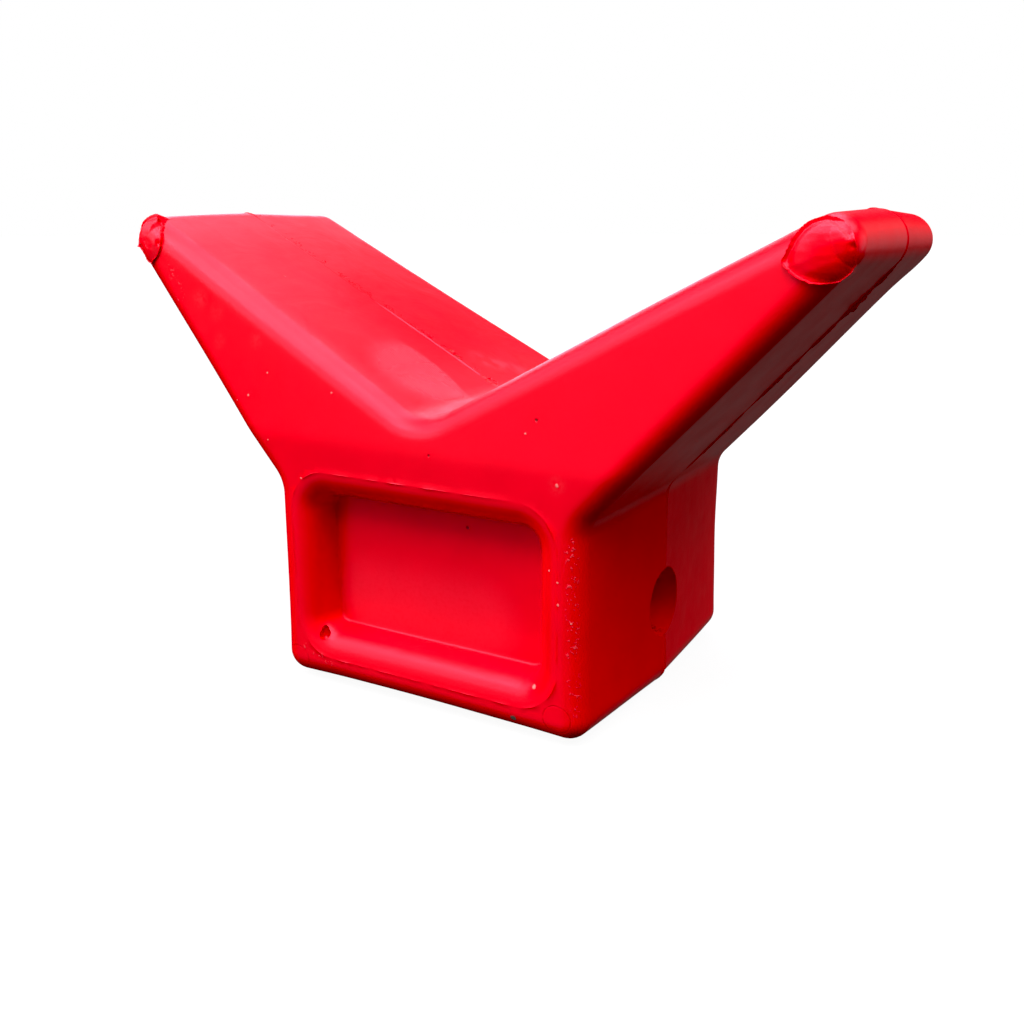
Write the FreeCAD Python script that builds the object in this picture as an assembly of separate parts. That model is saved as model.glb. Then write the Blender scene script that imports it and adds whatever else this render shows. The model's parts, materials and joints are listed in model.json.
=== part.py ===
import FreeCAD, Part
import math
import os

# V-shaped bow stop block, cast in one piece of polyurethane in a two-part mould.
# X runs from wing tip to wing tip, Y from front to back, Z up. Lengths are in millimetres.
# The origin is on the base plane, midway between the wing tips and between front and back.
# The mould halves meet at the parting plane Y = 0, where the casting is widest.

# Overall
OVERALL_WIDTH = 183.6
OVERALL_HEIGHT = 113.2
OVERALL_DEPTH = 84.6
EDGE_RADIUS = 5.0
SHARP_EDGE_RADIUS = 0.3    # what is left of a corner's radius after the front rounding

# Block
BASE_WIDTH = 87.4
WAIST_WIDTH = 85.6
WAIST_HEIGHT = 50.6
WAIST_FILLET = 6.0
BLOCK_DRAFT_DEG = 2.2

# Wings
TIP_RADIUS = 6.3
V_HEIGHT = 68.4            # height at which the two cradle faces would meet without a fillet
V_FILLET = 13.0
WING_DRAFT_DEG = 1.2
CREASE_HEIGHT = 62.0       # above it the front and back faces lean inwards
LEAN_DEG = 7.7

# Cross bore for the pin or bolt
BORE_DIAMETER = 17.0
BORE_HEIGHT = 21.9

# Recesses in the front and back faces, measured at their floor
RECESS_SIDE_WALL = 13.4    # from the narrower of the block's base and waist
RECESS_HEIGHT = 33.0
RECESS_FLOOR_BASE = 14.6
RECESS_DEPTH = 8.3
RECESS_DRAFT_DEG = 14.0
RECESS_CORNER_RADIUS = 3.5
RECESS_RIM_RADIUS = 6.0
RECESS_FLOOR_FILLET = 0.8
LEAST_LAND = 0.1           # flat band that always stays between the rim and other edges

# Cut-off casting gates on the front of both wing tips
GATE_DIAMETER = 11.8
GATE_SETBACK = 1.0         # from the tip's centre towards the middle, along the wing
GATE_STAND = 1.0           # how far the crown stands out of the leaning face
GATE_CROWN_RADIUS = 11.8   # so that the crown follows the tip's rounding at its edge

# Air bubble broken open in the rounding of the front recess's lower left corner
BUBBLE_RADIUS = 1.7
BUBBLE_TAIL_RADIUS = 0.9
BUBBLE_OUT = 0.3           # from the floor's corner, away from the middle
BUBBLE_DROP = 2.2          # below the floor's corner
BUBBLE_BURIAL = 2.3        # behind the front face
BUBBLE_TAIL_RISE = 1.6     # from the bubble's centre up to its tail's

HALF_DEPTH = OVERALL_DEPTH / 2
NARROWEST_WIDTH = min(BASE_WIDTH, WAIST_WIDTH)
RECESS_WIDTH = NARROWEST_WIDTH - 2 * RECESS_SIDE_WALL
TIP_CENTRE = FreeCAD.Vector(OVERALL_WIDTH / 2 - TIP_RADIUS, 0, OVERALL_HEIGHT - TIP_RADIUS)
ORIGIN = FreeCAD.Vector(0, 0, 0)
X_AXIS = FreeCAD.Vector(1, 0, 0)
Y_AXIS = FreeCAD.Vector(0, 1, 0)
ON_PLANE = 1e-4            # how near a point must lie to count as on a plane


def tan_deg(angle):
    return math.tan(math.radians(angle))


def at(x, z):
    """A point on the parting plane."""
    return FreeCAD.Vector(x, 0, z)


def mirrored(point):
    """The same point on the other wing."""
    return FreeCAD.Vector(-point.x, point.y, point.z)


def outward(start, end):
    """Unit normal to the right of the way from start to end, which points out of the material."""
    way = (end - start).normalize()
    return FreeCAD.Vector(way.z, 0, -way.x)


def inset_line(start, end, amount):
    """The line moved into the material."""
    step = outward(start, end) * -amount
    return start + step, end + step


def meeting_point(first, second):
    """Where two lines in the outline's plane cross."""
    a, b = first
    c, d = second
    u = b - a
    v = d - c
    gap = c - a
    along = (gap.x * v.z - gap.z * v.x) / (u.x * v.z - u.z * v.x)
    return a + u * along


def tangent_point(start, side):
    """Where the line from start touches the wing tip's circle, above (+1) or below (-1)."""
    way = TIP_CENTRE - start
    reach = math.sqrt(way.Length**2 - TIP_RADIUS**2)
    angle = math.atan2(way.z, way.x) + side * math.asin(TIP_RADIUS / way.Length)
    return start + at(math.cos(angle), math.sin(angle)) * reach


# A stretch of the outline is its control points and their weights: two for a line, three for an arc.
def line(start, end):
    return [start, end], [1.0, 1.0]


def rounded_corner(before, corner, after, radius):
    """The arc that rounds a corner between two lines."""
    back = (before - corner).normalize()
    ahead = (after - corner).normalize()
    half_angle = back.getAngle(ahead) / 2
    reach = radius / math.tan(half_angle)
    return [corner + back * reach, corner, corner + ahead * reach], [1.0, math.sin(half_angle), 1.0]


def arc_about(centre, first_normal, last_normal, radius):
    """The arc about a centre between two unit normals."""
    agreement = first_normal.dot(last_normal)
    middle = (first_normal + last_normal) * (radius / (1 + agreement))
    weight = math.sqrt((1 + agreement) / 2)
    points = [centre + first_normal * radius, centre + middle, centre + last_normal * radius]
    return points, [1.0, weight, 1.0]


def reflected(stretch):
    """The stretch on the other wing, run the other way."""
    points, weights = stretch
    return [mirrored(point) for point in reversed(points)], list(reversed(weights))


def outline(depth, rounding=0.0):
    """Stretches of the casting's outline at a depth from the parting plane, drawn on that plane.

    rounding is how far the edge rounding has moved the outline in beyond the draft.
    """
    block_inset = depth * tan_deg(BLOCK_DRAFT_DEG) + rounding
    wing_inset = depth * tan_deg(WING_DRAFT_DEG) + rounding

    base_corner = at(BASE_WIDTH / 2, 0)
    waist = at(WAIST_WIDTH / 2, WAIST_HEIGHT)
    v_bottom = at(0, V_HEIGHT)
    under_touch = tangent_point(waist, -1)
    cradle_touch = tangent_point(v_bottom, +1)

    base = inset_line(ORIGIN, base_corner, block_inset)
    side = inset_line(base_corner, waist, block_inset)
    under = inset_line(waist, under_touch, wing_inset)
    cradle = inset_line(cradle_touch, v_bottom, wing_inset)

    corner = meeting_point(base, side)
    waist_corner = meeting_point(side, under)
    v_corner = meeting_point(cradle, (ORIGIN, at(0, 1)))
    crease = meeting_point(under, (at(0, CREASE_HEIGHT), at(1, CREASE_HEIGHT)))

    corner_radius = EDGE_RADIUS + SHARP_EDGE_RADIUS - rounding
    tip_radius = TIP_RADIUS - wing_inset
    under_normal = outward(*under)
    cradle_normal = outward(*cradle)
    nose_normal = (under_normal + cradle_normal).normalize()

    corner_arc = rounded_corner(base[0], corner, side[1], corner_radius)
    waist_arc = rounded_corner(side[0], waist_corner, under[1], WAIST_FILLET + wing_inset)
    v_arc = rounded_corner(cradle[0], v_corner, mirrored(cradle[0]), V_FILLET + wing_inset)
    right = [
        corner_arc,
        line(corner_arc[0][-1], waist_arc[0][0]),
        waist_arc,
        line(waist_arc[0][-1], crease),
        line(crease, under[1]),
        arc_about(TIP_CENTRE, under_normal, nose_normal, tip_radius),
        arc_about(TIP_CENTRE, nose_normal, cradle_normal, tip_radius),
        line(cradle[0], v_arc[0][0]),
    ]
    left = [reflected(stretch) for stretch in reversed(right)]
    base_line = line(left[-1][0][-1], right[0][0][0])
    return [base_line] + right + [v_arc] + left


def is_above_crease(stretch):
    ends = [stretch[0][0], stretch[0][-1]]
    return all(point.z > CREASE_HEIGHT - ON_PLANE for point in ends)


def placed(stretch, distance, leaning=True):
    """The stretch's points carried forward, with the lean of the front face above the crease."""
    lean = tan_deg(LEAN_DEG) if leaning and is_above_crease(stretch) else 0.0
    points = []
    for point in stretch[0]:
        setback = (point.z - CREASE_HEIGHT) * lean
        points.append(FreeCAD.Vector(point.x, setback - distance, point.z))
    return points


def knots(degree):
    """Knots and multiplicities of a single span."""
    return [0.0, 1.0], [degree + 1, degree + 1]


def patch(rows, along_weights, across_weights):
    """A face through rows of control points, exact for lines and arcs."""
    across = len(rows) - 1
    along = len(rows[0]) - 1
    weights = [[first * second for second in along_weights] for first in across_weights]
    u_knots, u_mults = knots(across)
    v_knots, v_mults = knots(along)
    surface = Part.BSplineSurface()
    surface.buildFromPolesMultsKnots(
        rows, u_mults, v_mults, u_knots, v_knots, False, False, across, along, weights
    )
    return surface.toShape()


def curve(points, weights):
    """An edge along control points, exact for lines and arcs."""
    degree = len(points) - 1
    knot_values, mults = knots(degree)
    spline = Part.BSplineCurve()
    spline.buildFromPolesMultsKnots(points, mults, knot_values, False, degree, weights)
    return spline.toShape()


def front_faces():
    """Walls, edge rounding and front faces of the front half."""
    flat_depth = HALF_DEPTH - EDGE_RADIUS
    quarter_weights = [1.0, math.sqrt(0.5), 1.0]
    widest = outline(0)
    wall_end = outline(flat_depth)
    face_edge = outline(flat_depth, EDGE_RADIUS)

    faces = []
    lower_edges = []
    upper_edges = []
    for wide, end, front in zip(widest, wall_end, face_edge):
        weights = wide[1]
        wall_rows = [placed(wide, 0, leaning=False), placed(end, flat_depth)]
        faces.append(patch(wall_rows, weights, [1.0, 1.0]))
        round_rows = [placed(end, flat_depth), placed(end, HALF_DEPTH), placed(front, HALF_DEPTH)]
        faces.append(patch(round_rows, weights, quarter_weights))
        edges = upper_edges if is_above_crease(front) else lower_edges
        edges.append(curve(placed(front, HALF_DEPTH), weights))

    crease_ends = [placed(stretch, HALF_DEPTH)[0] for stretch in face_edge if starts_at_crease(stretch)]
    crease_ends.append(mirrored(crease_ends[0]))
    crease = Part.makeLine(crease_ends[0], crease_ends[1])
    for edges in (lower_edges, upper_edges):
        ring = Part.Wire(Part.__sortEdges__(edges + [crease]))
        faces.append(Part.Face(ring))
    return faces


def front_depth(height):
    """Distance of the front face from the parting plane at a height above the crease."""
    return HALF_DEPTH - (height - CREASE_HEIGHT) * tan_deg(LEAN_DEG)


def starts_at_crease(stretch):
    """True for the right wing's stretch that begins where the face starts to lean."""
    start = stretch[0][0]
    return abs(start.z - CREASE_HEIGHT) < ON_PLANE and start.x > 0


def casting():
    """Both halves sewn into one solid at the parting plane."""
    faces = front_faces()
    faces += [face.mirror(ORIGIN, Y_AXIS) for face in faces]
    shell = Part.Shell(faces)
    shell.sewShape()
    solid = Part.Solid(shell)
    if solid.Volume < 0:
        solid.reverse()
    return solid


def rounded_rectangle(width, height, base, radius, y):
    """A rounded rectangle parallel to the parting plane, centred on X = 0."""
    ring = [
        FreeCAD.Vector(-width / 2, y, base),
        FreeCAD.Vector(width / 2, y, base),
        FreeCAD.Vector(width / 2, y, base + height),
        FreeCAD.Vector(-width / 2, y, base + height),
    ]
    arcs = []
    for index, corner in enumerate(ring):
        after = ring[(index + 1) % len(ring)]
        arcs.append(rounded_corner(ring[index - 1], corner, after, radius))
    edges = []
    for index, arc in enumerate(arcs):
        following = arcs[(index + 1) % len(arcs)]
        edges.append(curve(*arc))
        edges.append(Part.makeLine(arc[0][-1], following[0][0]))
    return Part.Wire(edges)


def recess_flare():
    """How much further out the recess's wall stands at its mouth than at its floor."""
    return RECESS_DEPTH * tan_deg(RECESS_DRAFT_DEG)


def rim_radius():
    """The rim rounding's radius, limited by the flat land that is left around the mouth."""
    edge_inset = (HALF_DEPTH - EDGE_RADIUS) * tan_deg(BLOCK_DRAFT_DEG) + EDGE_RADIUS
    side_land = (NARROWEST_WIDTH - RECESS_WIDTH) / 2 - recess_flare() - edge_inset
    base_land = RECESS_FLOOR_BASE - recess_flare() - edge_inset
    top_land = CREASE_HEIGHT - RECESS_FLOOR_BASE - RECESS_HEIGHT - recess_flare()
    reach_share = tan_deg((90 - RECESS_DRAFT_DEG) / 2)
    return min(RECESS_RIM_RADIUS, (min(side_land, base_land, top_land) - LEAST_LAND) / reach_share)


def recess_tool():
    """What the front recess takes out, before its edges are rounded."""
    flare = recess_flare()
    floor = rounded_rectangle(
        RECESS_WIDTH, RECESS_HEIGHT, RECESS_FLOOR_BASE, RECESS_CORNER_RADIUS, RECESS_DEPTH - HALF_DEPTH
    )
    mouth = rounded_rectangle(
        RECESS_WIDTH + 2 * flare,
        RECESS_HEIGHT + 2 * flare,
        RECESS_FLOOR_BASE - flare,
        RECESS_CORNER_RADIUS + flare,
        -HALF_DEPTH,
    )
    return Part.makeLoft([floor, mouth], True, True)


def recess_edges(solid, depth):
    """Edges of both recesses at a distance from the parting plane."""
    half_mouth = RECESS_WIDTH / 2 + recess_flare() + ON_PLANE
    found = []
    for edge in solid.Edges:
        points = [vertex.Point for vertex in edge.Vertexes]
        level = all(abs(abs(point.y) - depth) < ON_PLANE for point in points)
        inside = all(abs(point.x) < half_mouth for point in points)
        if level and inside and max(point.z for point in points) < CREASE_HEIGHT - ON_PLANE:
            found.append(edge)
    return found


def bore():
    """The cross bore, past both side faces."""
    start = FreeCAD.Vector(-BASE_WIDTH, 0, BORE_HEIGHT)
    return Part.makeCylinder(BORE_DIAMETER / 2, 2 * BASE_WIDTH, start, X_AXIS)


def gate(side):
    """The stub of a gate, cut off with a crown, on the right (+1) or left (-1) wing tip."""
    wing_way = (TIP_CENTRE - at(WAIST_WIDTH / 2, WAIST_HEIGHT)).normalize()
    centre = TIP_CENTRE - wing_way * GATE_SETBACK
    lean = math.radians(LEAN_DEG)
    normal = FreeCAD.Vector(0, -math.cos(lean), math.sin(lean))
    seat = FreeCAD.Vector(side * centre.x, -front_depth(centre.z), centre.z)
    root = seat - normal * EDGE_RADIUS
    stub = Part.makeCylinder(GATE_DIAMETER / 2, EDGE_RADIUS + GATE_STAND, root, normal)
    crown = Part.makeSphere(GATE_CROWN_RADIUS, seat + normal * (GATE_STAND - GATE_CROWN_RADIUS))
    return stub.common(crown)


def bubble():
    """The air bubble, a round hollow with a smaller tail above it."""
    centre = FreeCAD.Vector(
        -RECESS_WIDTH / 2 - BUBBLE_OUT, BUBBLE_BURIAL - HALF_DEPTH, RECESS_FLOOR_BASE - BUBBLE_DROP
    )
    tail = centre + at(0, BUBBLE_TAIL_RISE)
    return Part.makeSphere(BUBBLE_RADIUS, centre).fuse(Part.makeSphere(BUBBLE_TAIL_RADIUS, tail))


def bow_stop_block():
    """The whole piece."""
    front_recess = recess_tool()
    back_recess = front_recess.mirror(ORIGIN, Y_AXIS)
    block = casting().cut([front_recess, back_recess])
    block = block.makeFillet(rim_radius(), recess_edges(block, HALF_DEPTH))
    block = block.makeFillet(RECESS_FLOOR_FILLET, recess_edges(block, HALF_DEPTH - RECESS_DEPTH))
    block = block.fuse([gate(1), gate(-1)])
    return block.cut([bore(), bubble()]).Solids[0]


os.makedirs("parts", exist_ok=True)
block = bow_stop_block()
block.exportStep("parts/bow_stop_block.step")
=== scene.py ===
import json
import math

import bmesh
import bpy
import numpy as np
from mathutils import Matrix, Vector, noise
from mathutils.geometry import delaunay_2d_cdt


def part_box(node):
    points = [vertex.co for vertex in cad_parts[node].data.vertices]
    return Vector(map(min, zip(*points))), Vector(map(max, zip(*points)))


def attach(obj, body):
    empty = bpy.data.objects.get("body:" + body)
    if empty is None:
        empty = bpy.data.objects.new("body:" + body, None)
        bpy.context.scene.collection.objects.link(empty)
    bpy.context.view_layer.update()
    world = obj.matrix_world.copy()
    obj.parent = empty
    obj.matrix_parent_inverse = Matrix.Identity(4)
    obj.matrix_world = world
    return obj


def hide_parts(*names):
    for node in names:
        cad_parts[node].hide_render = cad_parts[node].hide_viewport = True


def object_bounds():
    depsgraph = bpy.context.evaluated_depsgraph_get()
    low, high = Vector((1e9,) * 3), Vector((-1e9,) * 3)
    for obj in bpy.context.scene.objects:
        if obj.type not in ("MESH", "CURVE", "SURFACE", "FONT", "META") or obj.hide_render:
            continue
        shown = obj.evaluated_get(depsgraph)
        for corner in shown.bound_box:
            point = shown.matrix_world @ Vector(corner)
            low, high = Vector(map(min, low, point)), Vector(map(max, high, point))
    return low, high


# Red cast polyurethane bow stop block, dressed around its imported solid.
# The scene is in metres. The block's own shape is worked out in millimetres, as its solid is.

MM = 0.001
NODE = "bow_stop_block"
SLOT = "red_polyurethane"

# Camera, fitted to outlines and feature lines in the photograph
IMAGE_SIDE = 1024
SENSOR_WIDTH = 36.0
FOCAL_PIXELS = 1047.03
CAMERA_PLACE = Vector((0.1338, -0.2235, 0.11182))
CAMERA_YAW = 30.873        # degrees, turned left from facing the front
CAMERA_PITCH = 15.744      # degrees, looking down
CAMERA_ROLL = -0.279

# Soft lights: azimuth from the front towards the right, elevation, both in degrees, and strength
LIGHTS = {
    "top": (0, 90, 0.441),
    "key_left": (-30, 62, 0.748),
    "key_right": (30, 62, 0.626),
    "top_right": (90, 62, 0.638),
    "top_back": (-150, 62, 0.465),
    "back": (-160, 36, 0.041),
    "side_left": (-80, 36, 0.246),
    "left": (-40, 36, 0.421),
    "low_back": (-134, 10, 0.326),
    "low_front": (-26, 10, 0.118),
    "low_right": (118, 10, 0.177),
    "low_back_right": (154, 10, 0.035),
    "low_front_right": (15, -12, 0.025),
    "bounce_front": (-30, -25, 0.06),
    "bounce_back": (180, -25, 0.011),
}
PINK_LIGHTS = ("top_back", "low_back", "side_left")
LIGHT_PINK = (1.0, 0.84, 1.12)
LIGHT_SPREAD = 40.0
FILL_LIGHT = 0.005
FLOOR_SIDE = 12.0
FLOOR_WHITE = 0.06
FLOOR_GLOW = 0.94
# Faintest red, green and blue that the photograph still shows
DARKEST = (0.01, 0.0078, 0.009)

# Block and wings, in millimetres and degrees
EDGE_RADIUS = 5.0
SHARP_EDGE_RADIUS = 0.3
BASE_WIDTH = 87.4
WAIST_WIDTH = 85.6
WAIST_HEIGHT = 50.6
WAIST_FILLET = 6.0
BLOCK_DRAFT = 2.2
TIP_RADIUS = 6.3
V_HEIGHT = 68.4
V_FILLET = 13.0
WING_DRAFT = 1.2
CREASE_HEIGHT = 62.0
CREASE_SOFTNESS = 1.5
LEAN = 7.7

# Recess, in millimetres and degrees
RECESS_WIDTH = 58.8
RECESS_HEIGHT = 33.0
RECESS_FLOOR_BASE = 14.6
RECESS_DEPTH = 8.3
RECESS_DRAFT = 14.0
RECESS_CORNER_RADIUS = 3.5
RECESS_RIM_RADIUS = 6.0
RECESS_FLOOR_FILLET = 0.8

# Cut-off gates on the tips' fronts, in millimetres and degrees. Places (u, w) are across and up the
# leaning face from the gate's seat, heights are above that face, angles go round from the right over the
# top, and a rim is pairs of angle and radius. A crown is its radius and greatest height, a roll is the
# angle it falls towards and by how much, a groove and a low side are spans of angle, and a nub is its
# place, reach and height.
GATE_SETBACK = 1.0
GATE_GROOVE_SHARE = 0.86
GATE_GROOVE_WIDTH = 0.085
GATE_LIP = 0.2
GATE_LOWER_SPAN = (192, 325)
GATE_LIP_SHARE = 0.94
GATE_RAGGEDNESS = 0.16
GATE_SWIRL = 0.07
GATE_SWIRL_GRAIN = (0.35, 0.8)
GATE_GROOVE_LIP_LOSS = 0.6
GATE_SPAN_SOFTNESS = 12.0
GATE_TEAR_GRAIN = 5.0
GATE_CHIP_GRAIN = 14.0
GATE_LEAST_WALL = 0.3
GATE_MOST_WALL = 0.9
GATE_TAPER = 11.0
GATE_WALL_DEPTHS = (0.2, 0.6, 1.2, 2.0, 3.5, 5.5, 8.0)
GATE_SPOKES = 180
GATE_RINGS = 34
RIGHT_GATE = {
    "side": 1,
    "rim": [
        (0, 5.1), (20, 5.1), (50, 5.3), (90, 5.9), (120, 5.9), (150, 5.8), (175, 6.2), (190, 7.1), (199, 7.7),
        (210, 6.9), (245, 6.1), (270, 5.8), (300, 5.7), (325, 5.5), (345, 5.2),
    ],
    "crown": (11.8, 1.0),
    "apex": (-2.6, -0.6),
    "groove": (5, 200),
    "groove_depth": 0.4,
    "roll": (-48, 1.5),
    "lower_lip": 0.32,
    "nub": (4.6, 1.7, 1.0, 0.7),
}
LEFT_GATE = {
    "side": -1,
    "rim": [
        (0, 5.1), (40, 5.2), (56, 5.6), (66, 6.4), (76, 7.4), (86, 7.1), (106, 6.5), (125, 6.2), (150, 6.1),
        (175, 5.3), (190, 4.3), (205, 3.3), (225, 3.0), (250, 3.4), (275, 4.8), (287, 5.6), (300, 5.2),
        (338, 5.2),
    ],
    "crown": (11.8, 1.0),
    "apex": (1.2, -0.4),
    "groove": (-10, 165),
    "groove_depth": 0.5,
    "roll": (205, 2.2),
    "low_side": (-60, 62),
    "lower_lip": 0.05,
    "nub": (-3.9, -1.2, 0.7, 0.5),
}

# Air bubble broken open at the front recess's lower left corner, in millimetres
BUBBLE_RADIUS = 1.7
BUBBLE_TAIL_RADIUS = 0.9
BUBBLE_OUT = 0.3
BUBBLE_DROP = 2.2
BUBBLE_BURIAL = 2.3
BUBBLE_TAIL_RISE = 1.6

# Marks on the surface, in millimetres: x, y, z and radius, and for scuffs two ends and a reach
LIGHT_SPECKS = [
    (-49.1, -41.1, 70.8, 0.28),
    (-32.7, -42.3, 52.5, 0.24),
    (-13.2, -41.4, 3.6, 0.24),
    (-52.8, -41.3, 69.3, 0.21),
    (-23.3, -40.8, 73.3, 0.24),
    (36.1, -42.3, 59.3, 0.35),
    (34.2, -42.0, 40.7, 0.24),
    (36.4, -42.3, 38.5, 0.24),
    (36.5, -42.3, 33.6, 0.28),
    (39.3, -41.6, 29.7, 0.24),
    (28.1, -41.3, 69.1, 0.21),
    (-43.1, -40.3, 76.5, 0.24),
    (30.1, -41.1, 13.0, 0.49),
    (-42.5, -42.3, 60.7, 0.21),
]
DARK_SPECKS = [
    (8.8, -34.0, 44.3, 0.4),
    (4.4, -42.3, 62.0, 0.3),
    (30.6, -41.0, 72.0, 0.35),
    (-56.0, -18.3, 97.8, 0.4),
    (-8.2, 0.4, 72.7, 0.9),
    (-6.4, -0.1, 71.9, 0.8),
    (-4.8, 0.3, 71.2, 1.0),
    (-17.0, 1.6, 77.2, 0.8),
    (-19.5, 2.6, 78.5, 0.7),
    (-71.0, 0.0, 106.3, 0.6),
]
SMUDGES = [
    (-47.0, -39.3, 83.9, 1.6),
    (-60.0, -39.0, 90.0, 1.8),
    (-59.0, -39.0, 83.0, 1.5),
    (-66.0, -38.5, 93.0, 2.0),
    (36.1, -42.3, 59.3, 1.6),
]
SCUFFS = [
    ((40.2, -41.2, 3.0), (39.4, -41.6, 47.0), 2.2),
    ((-38.0, -41.0, 1.2), (38.0, -41.0, 1.2), 1.3),
    ((-41.0, -40.5, 3.0), (-40.5, -41.0, 30.0), 1.0),
    ((-77.0, -37.2, 103.5), (-73.0, -38.2, 93.0), 2.4),
    ((-35.0, -42.2, 9.5), (-27.0, -42.2, 6.5), 1.4),
]
PIN_MARKS = [(36.3, -42.3, 7.0), (-37.1, -42.3, 5.7)]
PIN_MARK_RADIUS = 3.3
TOOL_MARKS = (-14.0, -16.0, 76.5)
TOOL_MARKS_REACH = 17.5
TOOL_MARKS_CENTRE = (-30.0, -55.0, 60.0)
TOOL_MARKS_RADIUS = 50.0
TOOL_MARKS_PITCH = 0.6
RUB_MARK = ((-14.0, 9.0, 77.0), (4.0, 30.0, 71.0), 5.0)
# Where a sheen is painted on the recess floor: two ends and a reach
PAINTED_FLOOR_SHEEN = ((-20.0, -34.0, 21.0), (11.0, -34.0, 22.0), 15.0)
STONE_SPECK = (25.3, -42.0, 4.6, 0.75)
STRIP_CORE = 0.3
SPECK_SOFTNESS = 0.35
SMUDGE_SOFTNESS = 0.8
STONE_SOFTNESS = 0.3
TEAR_FREQUENCY = 1.6
TEAR_REACH = 0.5
# Shine of the casting, and how much of it is lost on the worn cradle, in its middle and on the far rim
GLOSS = 0.28
LEAST_GLOSS = 0.01
DULL_CRADLE = 0.18
DULL_MIDDLE = 0.05
DULL_RIM = 0.15
DULLEST = (-36.0, 8.0, 88.0)
DULLEST_REACH = 30.0
# Height from which shade is painted along the tip seam and its shine is lost
TIP_SEAM_START = 98.0

# Colours, and for marks and for painted shade, highlight and sheen how strongly each one covers the red
SPECULAR_TINT = (1.0, 0.44, 0.78, 1)
PLAIN_RED = (0.81, 0.0003, 0.0098, 1)
DEEP_RED = (0.77, 0.0003, 0.0086, 1)
# Painted shade: dark red laid along the groove of the joint on the cradle's left
PAINTED_SEAM_SHADE = ((0.35, 0.0, 0.003, 1), 0.7)
# Painted shade: darker red along the groove of the seam round the right tip
TIP_SEAM_SHADE = ((0.62, 0.0, 0.008, 1), 1)
PITS = ((0.35, 0.0, 0.004, 1), 0.6)
TOOL_MARK = ((0.85, 0.05, 0.085, 1), 0.38)
RUBBED = ((0.85, 0.05, 0.085, 1), 0.3)
# Painted highlight: pink laid along the raised flash line where it catches light
RAISED_LINE_HIGHLIGHT = ((0.85, 0.06, 0.1, 1), 0.5)
# Painted sheen: a lighter pink strip on the recess floor
PAINTED_SHEEN = ((0.95, 0.025, 0.06, 1), 0.25)
PIN_RING = ((0.5, 0.0, 0.004, 1), 0.6)
SMUDGE = ((0.95, 0.16, 0.2, 1), 0.07)
SCUFF = ((0.95, 0.3, 0.36, 1), 0.15)
LIGHT_SPECK = ((0.95, 0.4, 0.36, 1), 0.45)
DARK_SPECK = ((0.16, 0.01, 0.01, 1), 0.8)
STONE = ((0.11, 0.09, 0.08, 1), 1)

# Roughness of the plain casting, and what each thing adds to it
ROUGHNESS = 0.28
ROUGH_UNEVEN = 0.05
ROUGH_BLOTCHES = 0.07
ROUGH_STREAKS = 0.05
ROUGH_TOOL_MARKS = -0.08
ROUGH_PITS = 0.15
ROUGH_TIP_SEAM = 0.45

# Heights in the fine relief, in millimetres
GRAIN_HEIGHT = 0.012
WAVES_HEIGHT = 0.06
BLOTCHES_HEIGHT = 0.22
STREAKS_HEIGHT = 0.03
TOOL_MARKS_HEIGHT = 0.02
PITS_HEIGHT = -0.2
PIN_RINGS_HEIGHT = -0.05
SCUFFS_HEIGHT = 0.06
DARK_SPECKS_HEIGHT = -0.12

# Flash and a small step where the mould's halves met, in millimetres. The flash rows are pairs of
# depth from the parting plane and share of the flash's height.
RIM_FLASH = 0.16
RIM_FLASH_WIDTH = 0.36
RIM_FLASH_LEVEL = 0.45
RIM_FLASH_GRAIN = 0.25
REAR_STEP = 0.16
REAR_STEP_REACH = 22.0
FLASH_ROWS = [(0.0, 1.0), (0.12, 0.9), (0.26, 0.3), (0.45, 0.0)]
FLASH_HEIGHT = 0.1
FLASH_GRAIN = 2.5
FLASH_EVEN = 0.6
FLASH_UNEVEN = 0.6
FLASH_PATCH_END = 1.5
# Share of a patch's height: even, and from coarse and fine tears with their grain
PATCH_EVEN = 0.75
PATCH_COARSE = (0.5, 0.6)
PATCH_FINE = (0.3, 1.9)
# Where the flash stands higher, or where the joint is a groove (less than 0): x, z, reach along the
# outline and height
FLASH_PATCHES = [
    (81.5, 113.2, 3.2, 0.42),
    (89.5, 111.8, 3.6, -0.8),
    (91.9, 106.5, 4.6, -0.8),
    (-66.0, 103.5, 22.0, -0.14),
    (-25.0, 81.5, 22.0, 0.16),
    (90.0, 103.6, 2.6, 0.35),
    (87.0, 99.8, 2.8, 0.5),
    (82.5, 94.8, 3.6, 0.95),
    (77.0, 88.0, 4.5, 0.45),
    (68.0, 78.0, 7.0, 0.45),
    (55.0, 63.0, 9.0, 0.3),
    (-86.0, 113.0, 4.0, 0.22),
    (43.6, 8.0, 6.0, 0.4),
    (43.2, 46.0, 6.0, 0.15),
]

# Where the casting shrank or swelled off its straight outline: x, y, z, reach along the outline, reach
# in depth, and how far out
DEPARTURES = [
    (-60.5, -37, 71, 30, 60, -0.54),
    (-43.5, -20, 26, 20, 60, -0.26),
    (60, 37, 72, 18, 30, 0.22),
    (88.5, 37, 101.5, 5.5, 28, 0.45),
    (89.5, 37, 111.5, 5.5, 28, -0.5),
    (43, 37, 31, 12, 26, -0.34),
    (43, 34, 1, 7, 30, 0.3),
    (-3, -37, 0, 24, 40, -0.33),
    (-39, -37, 0, 9, 25, 0.3),
    (41, -37, 0, 9, 25, 0.25),
    (54, -37, 98, 20, 30, 0.22),
    (2, 37, 70.5, 38, 26, 0.5),
    (-81, -37, 111.5, 7, 15, -0.26),
]

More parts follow.
